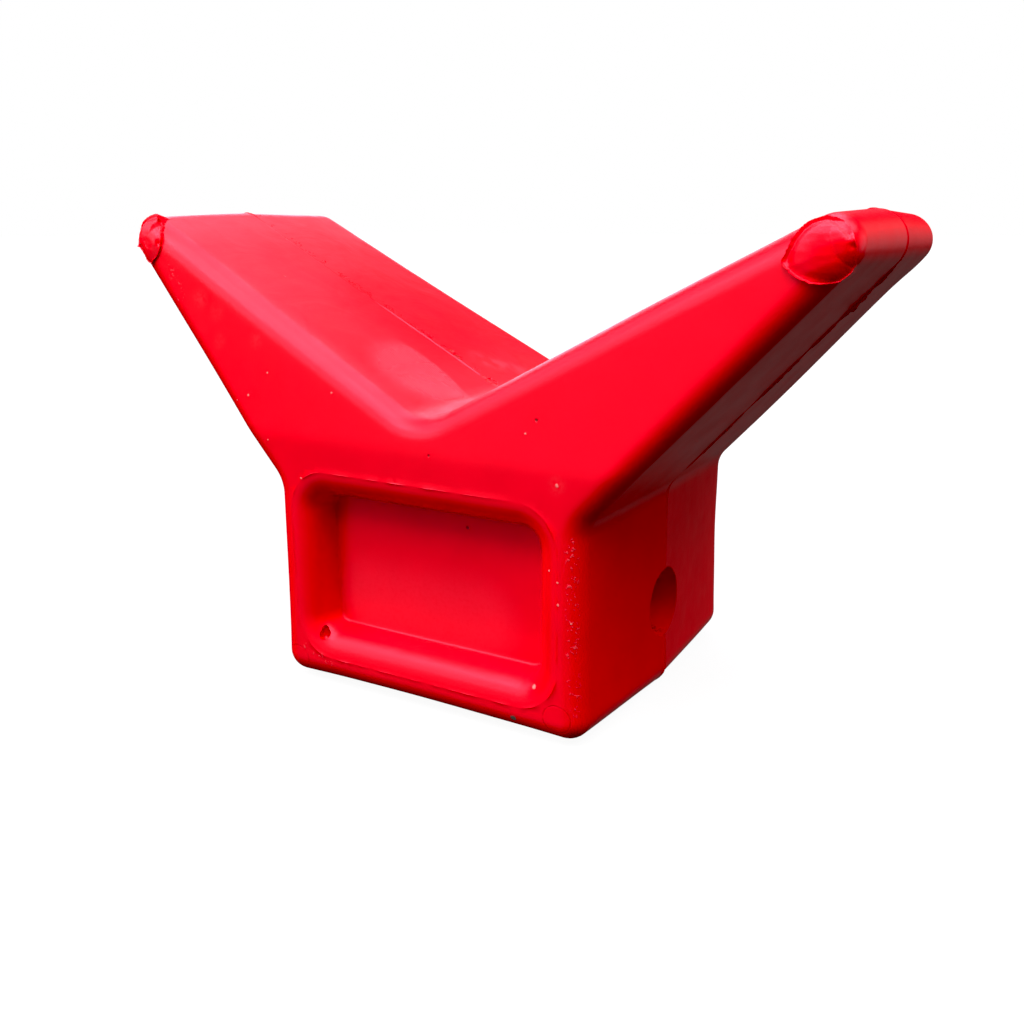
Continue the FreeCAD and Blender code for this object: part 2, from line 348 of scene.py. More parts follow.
# Spacing of the mesh, in millimetres
ALONG_STEP = 0.96
ARC_STEP = 0.66
FINE_PER_COARSE = 3
FACE_STEP = 1.25
ROUNDING_ROWS = 12
RIM_ROWS = 12
WALL_ROWS = 4
FLOOR_FILLET_ROWS = 4
FIRST_COARSE_DEPTH = 0.9
WALL_ROW_STEP = 1.7
BORE_SEGMENTS = 96
SMOOTH_ANGLE = 38.0


def tan_deg(angle):
    return math.tan(math.radians(angle))


def ragged(*place):
    """Smooth noise between -1 and 1, the same every run."""
    return noise.noise(Vector(place))


def new_object(name, data):
    item = bpy.data.objects.new(name, data)
    bpy.context.scene.collection.objects.link(item)
    return item


def add_camera():
    data = bpy.data.cameras.new("camera")
    data.sensor_width = SENSOR_WIDTH
    data.lens = FOCAL_PIXELS * SENSOR_WIDTH / IMAGE_SIDE
    data.clip_start = 0.01
    camera = new_object("camera", data)
    yaw = Matrix.Rotation(math.radians(CAMERA_YAW), 4, "Z")
    pitch = Matrix.Rotation(math.radians(90 - CAMERA_PITCH), 4, "X")
    roll = Matrix.Rotation(math.radians(CAMERA_ROLL), 4, "Z")
    camera.matrix_world = Matrix.Translation(CAMERA_PLACE) @ yaw @ pitch @ roll
    bpy.context.scene.camera = camera


def add_lights():
    for name, (azimuth, elevation, strength) in LIGHTS.items():
        data = bpy.data.lights.new(name, "SUN")
        data.angle = math.radians(LIGHT_SPREAD)
        data.energy = math.pi * strength
        if name in PINK_LIGHTS:
            data.color = LIGHT_PINK
        lamp = new_object(name, data)
        around, up = math.radians(azimuth), math.radians(elevation)
        way = Vector((math.sin(around) * math.cos(up), -math.cos(around) * math.cos(up), math.sin(up)))
        lamp.rotation_mode = "QUATERNION"
        lamp.rotation_quaternion = way.to_track_quat("Z", "Y")


def add_world():
    """White to the eye, with a little even light on the object."""
    world = bpy.data.worlds.new("studio")
    world.use_nodes = True
    nodes = world.node_tree.nodes
    links = world.node_tree.links
    background = nodes["Background"]
    background.inputs["Color"].default_value = (1, 1, 1, 1)
    path = nodes.new("ShaderNodeLightPath")
    level = nodes.new("ShaderNodeMapRange")
    level.inputs["To Min"].default_value = FILL_LIGHT
    level.inputs["To Max"].default_value = 1.0
    links.new(path.outputs["Is Camera Ray"], level.inputs["Value"])
    links.new(level.outputs["Result"], background.inputs["Strength"])
    bpy.context.scene.world = world
    view = bpy.context.scene.view_settings
    view.view_transform = "Standard"
    view.use_curve_mapping = True
    view.curve_mapping.black_level = DARKEST
    view.curve_mapping.update()


def add_floor(height):
    data = bpy.data.meshes.new("floor")
    half = FLOOR_SIDE / 2
    corners = [(-half, -half, height), (half, -half, height), (half, half, height), (-half, half, height)]
    data.from_pydata(corners, [], [(0, 1, 2, 3)])
    floor = new_object("floor", data)
    floor.visible_diffuse = False
    floor.visible_glossy = False
    floor.visible_shadow = False
    material = bpy.data.materials.new("floor_white")
    material.use_nodes = True
    shader = material.node_tree.nodes["Principled BSDF"]
    shader.inputs["Base Color"].default_value = (FLOOR_WHITE, FLOOR_WHITE, FLOOR_WHITE, 1)
    shader.inputs["Specular IOR Level"].default_value = 0
    shader.inputs["Emission Color"].default_value = (1, 1, 1, 1)
    shader.inputs["Emission Strength"].default_value = FLOOR_GLOW
    data.materials.append(material)


# The outline in the parting plane is a ring of stretches. Each one is control points and weights of a
# rational curve: two points for a line, three for an arc. A point is (x, z).
def unit(vector):
    return vector / np.linalg.norm(vector)


def outward(start, end):
    way = unit(end - start)
    return np.array((way[1], -way[0]))


def inset_line(start, end, amount):
    step = outward(start, end) * -amount
    return start + step, end + step


def cross_2d(a, b):
    return a[0] * b[1] - a[1] * b[0]


def meeting_point(first, second):
    way = first[1] - first[0]
    other = second[1] - second[0]
    return first[0] + way * cross_2d(second[0] - first[0], other) / cross_2d(way, other)


def rounded_corner(before, corner, after, radius):
    back = unit(before - corner)
    ahead = unit(after - corner)
    half_angle = math.acos(float(back @ ahead)) / 2
    reach = radius / math.tan(half_angle)
    return np.array([corner + back * reach, corner, corner + ahead * reach]), (1, math.sin(half_angle), 1)


def arc_about(centre, first_normal, last_normal, radius):
    agreement = float(first_normal @ last_normal)
    middle = (first_normal + last_normal) * (radius / (1 + agreement))
    points = np.array([centre + first_normal * radius, centre + middle, centre + last_normal * radius])
    return points, (1, math.sqrt((1 + agreement) / 2), 1)


def straight(start, end):
    return np.array([start, end]), (1, 1)


def flipped(stretch):
    points, weights = stretch
    return points[::-1] * (-1, 1), weights[::-1]


def sampled(stretch, count):
    """Points along a stretch, without its last."""
    points, weights = stretch
    t = np.arange(count)[:, None] / count
    if len(points) == 2:
        return points[0] * (1 - t) + points[1] * t
    basis = [(1 - t) ** 2 * weights[0], 2 * t * (1 - t) * weights[1], t * t * weights[2]]
    return sum(b * p for b, p in zip(basis, points)) / sum(basis)


def outward_ways(ring):
    """Unit normals of a closed ring of points (x, z)."""
    way = np.roll(ring, -1, axis=0) - np.roll(ring, 1, axis=0)
    return np.column_stack([way[:, 1], -way[:, 0]]) / np.linalg.norm(way, axis=1)[:, None]


def in_space(ring, y):
    """A ring of points (x, z) with y added."""
    return np.column_stack([ring[:, 0], np.broadcast_to(y, len(ring)), ring[:, 1]])


class Casting:
    """The block's shape: outlines at any depth, and the ring of points that every row shares."""

    def __init__(self, box, side):
        low, high = [np.array(corner) / MM for corner in box]
        self.side = side
        self.half_depth = (high[1] - low[1]) / 2
        self.flat_depth = self.half_depth - EDGE_RADIUS
        self.tip = np.array((high[0] - TIP_RADIUS, high[2] - TIP_RADIUS))
        self.waist = np.array((WAIST_WIDTH / 2, WAIST_HEIGHT))
        self.gate_step = unit(self.tip - self.waist) * GATE_SETBACK
        self.counts = [self.count_for(stretch) for stretch in self.outline(0)]

    def count_for(self, stretch):
        length = np.linalg.norm(stretch[0][-1] - stretch[0][0])
        step = ALONG_STEP if len(stretch[0]) == 2 else ARC_STEP
        return max(2, math.ceil(length / step))

    def tangent_point(self, start, side):
        way = self.tip - start
        distance = np.linalg.norm(way)
        reach = math.sqrt(distance**2 - TIP_RADIUS**2)
        angle = math.atan2(way[1], way[0]) + side * math.asin(TIP_RADIUS / distance)
        return start + np.array((math.cos(angle), math.sin(angle))) * reach

    def outline(self, depth, rounding=0.0):
        """Stretches of the outline at a depth from the parting plane, from the base round to the left."""
        block_inset = depth * tan_deg(BLOCK_DRAFT) + rounding
        wing_inset = depth * tan_deg(WING_DRAFT) + rounding
        middle = np.array((0.0, 0.0))
        up = np.array((0.0, 1.0))
        base_corner = np.array((BASE_WIDTH / 2, 0))
        waist = self.waist
        v_bottom = np.array((0, V_HEIGHT))
        base = inset_line(middle, base_corner, block_inset)
        side = inset_line(base_corner, waist, block_inset)
        under = inset_line(waist, self.tangent_point(waist, -1), wing_inset)
        cradle = inset_line(self.tangent_point(v_bottom, 1), v_bottom, wing_inset)
        corner = meeting_point(base, side)
        waist_corner = meeting_point(side, under)
        v_corner = meeting_point(cradle, (middle, up))
        crease_line = (up * CREASE_HEIGHT, up * CREASE_HEIGHT + (1, 0))
        crease = meeting_point(under, crease_line)
        tip_radius = TIP_RADIUS - wing_inset
        under_normal = outward(*under)
        cradle_normal = outward(*cradle)
        nose_normal = unit(under_normal + cradle_normal)
        corner_arc = rounded_corner(base[0], corner, side[1], EDGE_RADIUS + SHARP_EDGE_RADIUS - rounding)
        waist_arc = rounded_corner(side[0], waist_corner, under[1], WAIST_FILLET + wing_inset)
        v_arc = rounded_corner(cradle[0], v_corner, cradle[0] * (-1, 1), V_FILLET + wing_inset)
        right = [
            corner_arc,
            straight(corner_arc[0][-1], waist_arc[0][0]),
            waist_arc,
            straight(waist_arc[0][-1], crease),
            straight(crease, under[1]),
            arc_about(self.tip, under_normal, nose_normal, tip_radius),
            arc_about(self.tip, nose_normal, cradle_normal, tip_radius),
            straight(cradle[0], v_arc[0][0]),
        ]
        left = [flipped(stretch) for stretch in reversed(right)]
        return [straight(left[-1][0][-1], right[0][0][0])] + right + [v_arc] + left

    def ring(self, depth, rounding=0.0, fine=1):
        """The outline's points, (x, z), the same number in the same order at every depth."""
        stretches = self.outline(depth, rounding)
        return np.vstack([sampled(stretch, count * fine) for stretch, count in zip(stretches, self.counts)])

    def setback(self, z):
        """How far the front face has leaned back at a height."""
        above = z - CREASE_HEIGHT
        eased = (above + CREASE_SOFTNESS) ** 2 / (4 * CREASE_SOFTNESS)
        rise = np.where(above > CREASE_SOFTNESS, above, np.where(above < -CREASE_SOFTNESS, 0, eased))
        return rise * tan_deg(LEAN)

    def row(self, depth, fine):
        """Points (x, y, z) of this half, its face forward, at a depth short of the rounding."""
        wide = in_space(self.ring(0, fine=fine), 0)
        end = self.ring(self.flat_depth, fine=fine)
        end = in_space(end, self.setback(end[:, 1]) - self.flat_depth)
        share = depth / self.flat_depth
        return self.departed(wide * (1 - share) + end * share)

    def departed(self, row):
        """A row moved off the straight outline, by what this half shrank, swelled or is stepped."""
        ring = row[:, [0, 2]]
        depth = row[:, 1] * -self.side
        out = np.zeros(len(row))
        for x, y, z, reach, reach_in_depth, amount in DEPARTURES:
            away = ((ring - (x, z)) ** 2).sum(axis=1) / reach**2 + (depth - y) ** 2 / reach_in_depth**2
            out += amount * np.exp(-away)
        if self.side > 0:
            out -= REAR_STEP * np.exp(-(depth / REAR_STEP_REACH) ** 2) * (depth > 0)
        moved = row.copy()
        moved[:, [0, 2]] += outward_ways(ring) * out[:, None]
        return moved

    def coarse_rows(self):
        """Rows from near the parting plane to the front face's edge."""
        count = round((self.flat_depth - FIRST_COARSE_DEPTH) / WALL_ROW_STEP)
        rows = [self.row(depth, 1) for depth in np.linspace(FIRST_COARSE_DEPTH, self.flat_depth, count + 1)]
        end = self.ring(self.flat_depth)
        end = in_space(end, self.setback(end[:, 1]) - self.flat_depth)
        front = self.ring(self.flat_depth, EDGE_RADIUS)
        front = in_space(front, self.setback(front[:, 1]) - self.half_depth)
        forward = np.array((0, -EDGE_RADIUS, 0))
        inward = front - end - forward
        for index in range(1, ROUNDING_ROWS + 1):
            angle = math.pi / 2 * index / ROUNDING_ROWS
            rows.append(self.departed(end + forward * math.sin(angle) + inward * (1 - math.cos(angle))))
        rows[-1][:, 1] = self.setback(rows[-1][:, 2]) - self.half_depth
        return rows

    def fine_rows(self):
        """Rows at the parting plane, with its flash."""
        rows = []
        for depth, share in FLASH_ROWS:
            row = self.row(depth, FINE_PER_COARSE)
            height = np.array([flash_height(point) for point in self.ring(0, fine=FINE_PER_COARSE)])
            row[:, [0, 2]] += outward_ways(row[:, [0, 2]]) * (height * share)[:, None]
            rows.append(row)
        return rows


def flash_height(point):
    """Height of the flash at a point (x, z) of the outline in the parting plane."""
    x, z = point
    height = FLASH_HEIGHT * (FLASH_EVEN + FLASH_UNEVEN * ragged(x / FLASH_GRAIN, z / FLASH_GRAIN, 3.0))
    coarse, coarse_grain = PATCH_COARSE
    fine, fine_grain = PATCH_FINE
    for at_x, at_z, reach, most in FLASH_PATCHES:
        near = math.hypot(x - at_x, z - at_z) / reach
        if near < FLASH_PATCH_END:
            tear = PATCH_EVEN + coarse * ragged(x * coarse_grain, z * coarse_grain, at_x)
            tear += fine * ragged(x * fine_grain, z * fine_grain, at_z)
            height += (most * tear - height * (most < 0)) * math.exp(-near**4)
    return height


class Surface:
    """Collects points and faces of one mesh."""

    def __init__(self):
        self.points = []
        self.faces = []
        self.count = 0

    def add_points(self, points):
        start = self.count
        self.points.append(np.asarray(points, float))
        self.count += len(points)
        return start

    def add_rings(self, rings):
        """Quads between closed rings of equally many points."""
        start = self.add_points(np.vstack(rings))
        size = len(rings[0])
        for row in range(len(rings) - 1):
            for k in range(size):
                a = start + row * size + k
                b = start + row * size + (k + 1) % size
                self.faces.append((a, b, b + size, a + size))

    def add_transition(self, fine, coarse):
        """Triangles from a fine ring to one with a third of its points."""
        many, few = len(fine), len(coarse)
        start = self.add_points(np.vstack([fine, coarse]))
        for k in range(few):
            a, b, c, d = [start + (FINE_PER_COARSE * k + step) % many for step in range(FINE_PER_COARSE + 1)]
            near, far = start + many + k, start + many + (k + 1) % few
            self.faces += [(a, b, near), (b, c, far, near), (c, d, far)]

    def add_flat(self, outer, holes, height_at, step):
        """Triangles between loops of points (x, z), with y given by height_at."""
        lattice = lattice_inside(outer, holes, step)
        flat = np.vstack([outer] + holes + [lattice])
        edges = []
        start = 0
        for loop in [outer] + holes:
            size = len(loop)
            edges += [(start + k, start + (k + 1) % size) for k in range(size)]
            start += size
        found = delaunay_2d_cdt([Vector(point) for point in flat], edges, [], 0, 1e-6)
        places = np.array([tuple(point) for point in found[0]])
        triangles = np.array(found[2])
        middles = places[triangles].mean(axis=1)
        keep = is_inside(middles, outer)
        for hole in holes:
            keep &= ~is_inside(middles, hole)
        first = self.add_points(np.column_stack([places[:, 0], height_at(places), places[:, 1]]))
        self.faces += [tuple(int(corner) + first for corner in face) for face in triangles[keep]]

    def mesh(self, name):
        data = bpy.data.meshes.new(name)
        data.from_pydata([tuple(point) for point in np.vstack(self.points) * MM], [], self.faces)
        work = bmesh.new()
        work.from_mesh(data)
        bmesh.ops.remove_doubles(work, verts=work.verts, dist=1e-6)
        loose = [vert for vert in work.verts if not vert.link_faces]
        bmesh.ops.delete(work, geom=loose, context="VERTS")
        bmesh.ops.recalc_face_normals(work, faces=work.faces)
        work.to_mesh(data)
        work.free()
        return data


def is_inside(points, loop):
    """Which points lie inside a closed loop."""
    x, z = points[:, 0:1], points[:, 1:2]
    x0, z0 = loop[:, 0], loop[:, 1]
    x1, z1 = np.roll(x0, -1), np.roll(z0, -1)
    crosses = (z0 > z) != (z1 > z)
    with np.errstate(divide="ignore", invalid="ignore"):
        at = x0 + (z - z0) * (x1 - x0) / (z1 - z0)
    return (np.sum(crosses & (x < at), axis=1) % 2) == 1


def lattice_inside(outer, holes, step):
    """A triangular lattice inside a loop, outside its holes and clear of both."""
    low, high = outer.min(axis=0), outer.max(axis=0)
    rise = step * math.sqrt(3) / 2
    rows = []
    for index in range(int((high[1] - low[1]) / rise) + 1):
        x = np.arange(low[0] + (index % 2) * step / 2, high[0], step)
        rows.append(np.column_stack([x, np.full(len(x), low[1] + index * rise)]))
    points = np.vstack(rows)
    keep = is_inside(points, outer)
    for hole in holes:
        keep &= ~is_inside(points, hole)
    points = points[keep]
    edge = np.vstack([outer] + holes)
    nearest = np.array([np.min(np.sum((edge - point) ** 2, axis=1)) for point in points])
    return points[nearest > (0.6 * step) ** 2]


class Recess:
    """The recess, by the distance r out from the rectangle through its corner centres."""

    def __init__(self):
        self.half_width = RECESS_WIDTH / 2 - RECESS_CORNER_RADIUS
        self.half_height = RECESS_HEIGHT / 2 - RECESS_CORNER_RADIUS
        self.middle = RECESS_FLOOR_BASE + RECESS_HEIGHT / 2
        self.mouth = RECESS_CORNER_RADIUS + RECESS_DEPTH * tan_deg(RECESS_DRAFT)
        self.turn = math.radians(90 - RECESS_DRAFT)
        self.rim = self.mouth + RECESS_RIM_RADIUS * math.tan(self.turn / 2)
        self.floor = RECESS_CORNER_RADIUS - RECESS_FLOOR_FILLET * math.tan(self.turn / 2)

    def loop(self, r):
        """A rounded rectangle at distance r, as points (x, z)."""
        quarter = math.ceil(math.pi / 2 * self.rim / ARC_STEP)
        corners = []
        signs = [(1, -1, -90), (1, 1, 0), (-1, 1, 90), (-1, -1, 180)]
        for x_sign, z_sign, first in signs:
            angles = np.radians(first + 90 * np.arange(quarter + 1) / quarter)
            centre = np.array((x_sign * self.half_width, self.middle + z_sign * self.half_height))
            corners.append(centre + r * np.column_stack([np.cos(angles), np.sin(angles)]))
        points = []
        for index, arc in enumerate(corners):
            following = corners[(index + 1) % 4][0]
            count = math.ceil(np.linalg.norm(following - arc[-1]) / ALONG_STEP)
            share = np.arange(1, count)[:, None] / count
            points += [arc, arc[-1] * (1 - share) + following * share]
        return np.vstack(points)

    def profile(self):
        """Pairs of distance and depth, from the rim on the face to the floor."""
        pairs = [(self.rim + RIM_FLASH_WIDTH, 0.0), (self.rim + RIM_FLASH_WIDTH / 2, 0.0)]
        for index in range(RIM_ROWS + 1):
            angle = self.turn * index / RIM_ROWS
            distance = self.rim - RECESS_RIM_RADIUS * math.sin(angle)
            pairs.append((distance, RECESS_RIM_RADIUS * (1 - math.cos(angle))))
        fillet = []
        for index in range(FLOOR_FILLET_ROWS + 1):
            angle = self.turn * (1 - index / FLOOR_FILLET_ROWS)
            distance = self.floor + RECESS_FLOOR_FILLET * math.sin(angle)
            fillet.append((distance, RECESS_DEPTH - RECESS_FLOOR_FILLET * (1 - math.cos(angle))))
        top, bottom = np.array(pairs[-1]), np.array(fillet[0])
        for index in range(1, WALL_ROWS):
            pairs.append(tuple(top + (bottom - top) * index / WALL_ROWS))
        return pairs + fillet


def half_of_casting(casting, recess, seam):
    """One half with its face forward, open at the parting plane, where its first row is the seam."""
    surface = Surface()
    fine = casting.fine_rows()
    coarse = casting.coarse_rows()
    fine[0] = seam
    surface.add_rings(fine)
    surface.add_transition(fine[-1], coarse[0])
    surface.add_rings(coarse)
    rings = []
    for distance, depth in recess.profile():
        loop = recess.loop(distance)
        rings.append(in_space(loop, depth - casting.half_depth))
    bead = []
    for x, _, z in rings[1]:
        level = RIM_FLASH_LEVEL + ragged(x * RIM_FLASH_GRAIN, casting.side, z * RIM_FLASH_GRAIN)
        bead.append(RIM_FLASH * max(0.0, level))
    rings[1][:, 1] -= bead
    surface.add_rings(rings)
    face_edge = coarse[-1][:, [0, 2]]
    rim = rings[0][:, [0, 2]]
    surface.add_flat(face_edge, [rim], lambda at: casting.setback(at[:, 1]) - casting.half_depth, FACE_STEP)
    floor_depth = RECESS_DEPTH - casting.half_depth
    surface.add_flat(rings[-1][:, [0, 2]], [], lambda at: np.full(len(at), floor_depth), FACE_STEP)
    surface.points = [np.vstack(surface.points)]
    return surface


def bore_cutter(mount):
    data = bpy.data.meshes.new("bore_cutter")
    work = bmesh.new()
    radius = mount["dims"]["r_mm"] * MM
    bmesh.ops.create_cone(
        work, cap_ends=True, segments=BORE_SEGMENTS, radius1=radius, radius2=radius,
        depth=2 * BASE_WIDTH * MM,
        matrix=Matrix.Translation(Vector(mount["pos_m"])) @ Matrix.Rotation(math.pi / 2, 4, "Y"),
    )
    work.to_mesh(data)
    work.free()
    return new_object("bore_cutter", data)


def ball_cutter(centre, radius):
    data = bpy.data.meshes.new("bubble_cutter")
    work = bmesh.new()
    place = Matrix.Translation(Vector(centre) * MM)
    bmesh.ops.create_icosphere(work, subdivisions=4, radius=radius * MM, matrix=place)
    work.to_mesh(data)
    work.free()
    return new_object("bubble_cutter", data)


def bubble_cutters(casting):
    x = -RECESS_WIDTH / 2 - BUBBLE_OUT
    y = BUBBLE_BURIAL - casting.half_depth
    z = RECESS_FLOOR_BASE - BUBBLE_DROP
    return [
        ball_cutter((x, y, z), BUBBLE_RADIUS),
        ball_cutter((x, y, z + BUBBLE_TAIL_RISE), BUBBLE_TAIL_RADIUS),
    ]


def within(angle, span):
    """1 inside a span of angles in degrees, 0 outside, with soft ends."""
    middle, half = (span[0] + span[1]) / 2, (span[1] - span[0]) / 2
    off = abs((angle - middle + 180) % 360 - 180)
    return min(1.0, max(0.0, (half - off) / GATE_SPAN_SOFTNESS + 0.5))


def rounding_height(casting, side, u, w):
    """Height of the casting's own rounded front at a place on a tip, seen from the gate's seat."""
    place = np.array((side * u, w)) - casting.gate_step
    under_normal = outward(casting.waist, casting.tangent_point(casting.waist, -1))
    v_bottom = np.array((0, V_HEIGHT))
    cradle_normal = outward(casting.tangent_point(v_bottom, 1), v_bottom)
    nose = unit(under_normal + cradle_normal)
    distance = float(np.linalg.norm(place))
    if place @ nose < distance * float(nose @ cradle_normal):
        distance = float(max(place @ under_normal, place @ cradle_normal))
    flat_radius = TIP_RADIUS - casting.flat_depth * tan_deg(WING_DRAFT) - EDGE_RADIUS
    beyond = min(EDGE_RADIUS, max(0.0, distance - flat_radius))
    return math.sqrt(EDGE_RADIUS**2 - beyond**2) - EDGE_RADIUS


def gate_height(u, w, share, angle, features, under):
    """Height of a gate's cut face at (u, w), over the casting's own surface: a crown that rolls off to
    one side, a groove, a lip and a nub."""
    apex_u, apex_w = features["apex"]
    off = math.hypot(u - apex_u, w - apex_w)
    radius, highest = features["crown"]
    height = highest - radius + math.sqrt(radius**2 - off**2)
    roll_angle, roll = features["roll"]
    height -= roll * share**4 * max(0.0, math.cos(math.radians(angle - roll_angle))) ** 2
    height = max(height, under + GATE_LEAST_WALL)
    if "low_side" in features:
        height += (min(height, under + GATE_MOST_WALL) - height) * within(angle, features["low_side"])
    in_groove = within(angle, features["groove"])
    from_groove = (share - GATE_GROOVE_SHARE) / GATE_GROOVE_WIDTH
    height -= features["groove_depth"] * in_groove * math.exp(-(from_groove**2))
    rise = max(0.0, (share - GATE_LIP_SHARE) / (1 - GATE_LIP_SHARE))
    lip = GATE_LIP * (1 - GATE_GROOVE_LIP_LOSS * in_groove)
    lip += features["lower_lip"] * within(angle, GATE_LOWER_SPAN)
    height += lip * rise**2
    nub_u, nub_w, nub_reach, nub = features["nub"]
    height += nub * math.exp(-((u - nub_u) ** 2 + (w - nub_w) ** 2) / nub_reach**2)
    grain_u, grain_w = GATE_SWIRL_GRAIN
    return height + GATE_SWIRL * ragged(u * grain_u, w * grain_w, features["side"] * 4.0)


def gate(casting, features):
    """A gate's cut-off stub on one tip, as a closed mesh."""
    side = features["side"]
    centre = casting.tip - casting.gate_step
    lean = math.radians(LEAN)
    normal = np.array((0, -math.cos(lean), math.sin(lean)))
    up = np.array((0, math.sin(lean), math.cos(lean)))
    across = np.array((1.0, 0, 0))
    seat = np.array((side * centre[0], casting.setback(centre[1]) - casting.half_depth, centre[1]))
    angles = [360 * k / GATE_SPOKES for k in range(GATE_SPOKES)]
    known = features["rim"]
    radii = np.interp(angles, [pair[0] for pair in known], [pair[1] for pair in known], period=360)
    radii = (radii + np.roll(radii, 1) + np.roll(radii, -1)) / 3
    rings = []
    for share in 1 - (1 - np.linspace(0, 1, GATE_RINGS + 1)[1:]) ** 1.6:
        ring = []
        for angle, radius in zip(angles, radii):
            turn = math.radians(angle)
            across_way, up_way = math.cos(turn), math.sin(turn)
            tear = ragged(across_way * GATE_TEAR_GRAIN, up_way * GATE_TEAR_GRAIN, side * 9.0)
            chip = ragged(across_way * GATE_CHIP_GRAIN, up_way * GATE_CHIP_GRAIN, side * 7.0)
            reach = share * radius + share**8 * GATE_RAGGEDNESS * (tear + chip)
            u, w = reach * across_way, reach * up_way
            under = rounding_height(casting, side, u, w)
            height = gate_height(u, w, share, angle, features, under) + share**12 * GATE_RAGGEDNESS * chip
            ring.append(seat + across * u + up * w + normal * height)
        rings.append(np.array(ring))
    rim_ring = rings[-1]
    middle = rim_ring.mean(axis=0)
    for depth in GATE_WALL_DEPTHS:
        shrink = 1 - depth * tan_deg(GATE_TAPER) / GATE_WALL_DEPTHS[-1]
        rings.append(middle + (rim_ring - middle) * shrink - normal * depth)
    surface = Surface()
    surface.add_rings(rings)
    crown = seat + normal * gate_height(0, 0, 0, 0, features, 0)
    for ring, place in ((rings[0], crown), (rings[-1], rings[-1].mean(axis=0))):
        start = surface.add_points(np.vstack([ring, place[None]]))
        for k in range(GATE_SPOKES):
            surface.faces.append((start + k, start + (k + 1) % GATE_SPOKES, start + GATE_SPOKES))
    return new_object("gate_stub", surface.mesh("gate_stub"))


def combine(piece, other, operation):
    modifier = piece.modifiers.new("combine", "BOOLEAN")
    modifier.operation = operation
    modifier.solver = "EXACT"
    modifier.object = other
    bpy.context.view_layer.update()
    graph = bpy.context.evaluated_depsgraph_get()
    result = bpy.data.meshes.new_from_object(piece.evaluated_get(graph))
    piece.modifiers.clear()
    piece.data = result
    bpy.data.objects.remove(other)


def build_block(frame):
    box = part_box(NODE)
    casting = Casting(box, -1)
    rear_casting = Casting(box, 1)
    recess = Recess()
    seam = casting.fine_rows()[0]
    front = half_of_casting(casting, recess, seam)
    rear = half_of_casting(rear_casting, recess, seam)
    rear.points[0] = rear.points[0] * (1, -1, 1)
    surface = Surface()
    for half in (front, rear):
        start = surface.add_points(half.points[0])
        surface.faces += [tuple(corner + start for corner in face) for face in half.faces]
    piece = new_object("cast_block", surface.mesh("cast_block"))
    mount = next(m for m in frame["record"]["mounts"] if m["name"] == "cross_bore")
    combine(piece, gate(casting, RIGHT_GATE), "UNION")
    combine(piece, gate(casting, LEFT_GATE), "UNION")
    for cutter in [bore_cutter(mount)] + bubble_cutters(casting):
        combine(piece, cutter, "DIFFERENCE")
    for polygon in piece.data.polygons:
        polygon.use_smooth = True
    piece.data.set_sharp_from_angle(angle=math.radians(SMOOTH_ANGLE))
    return piece


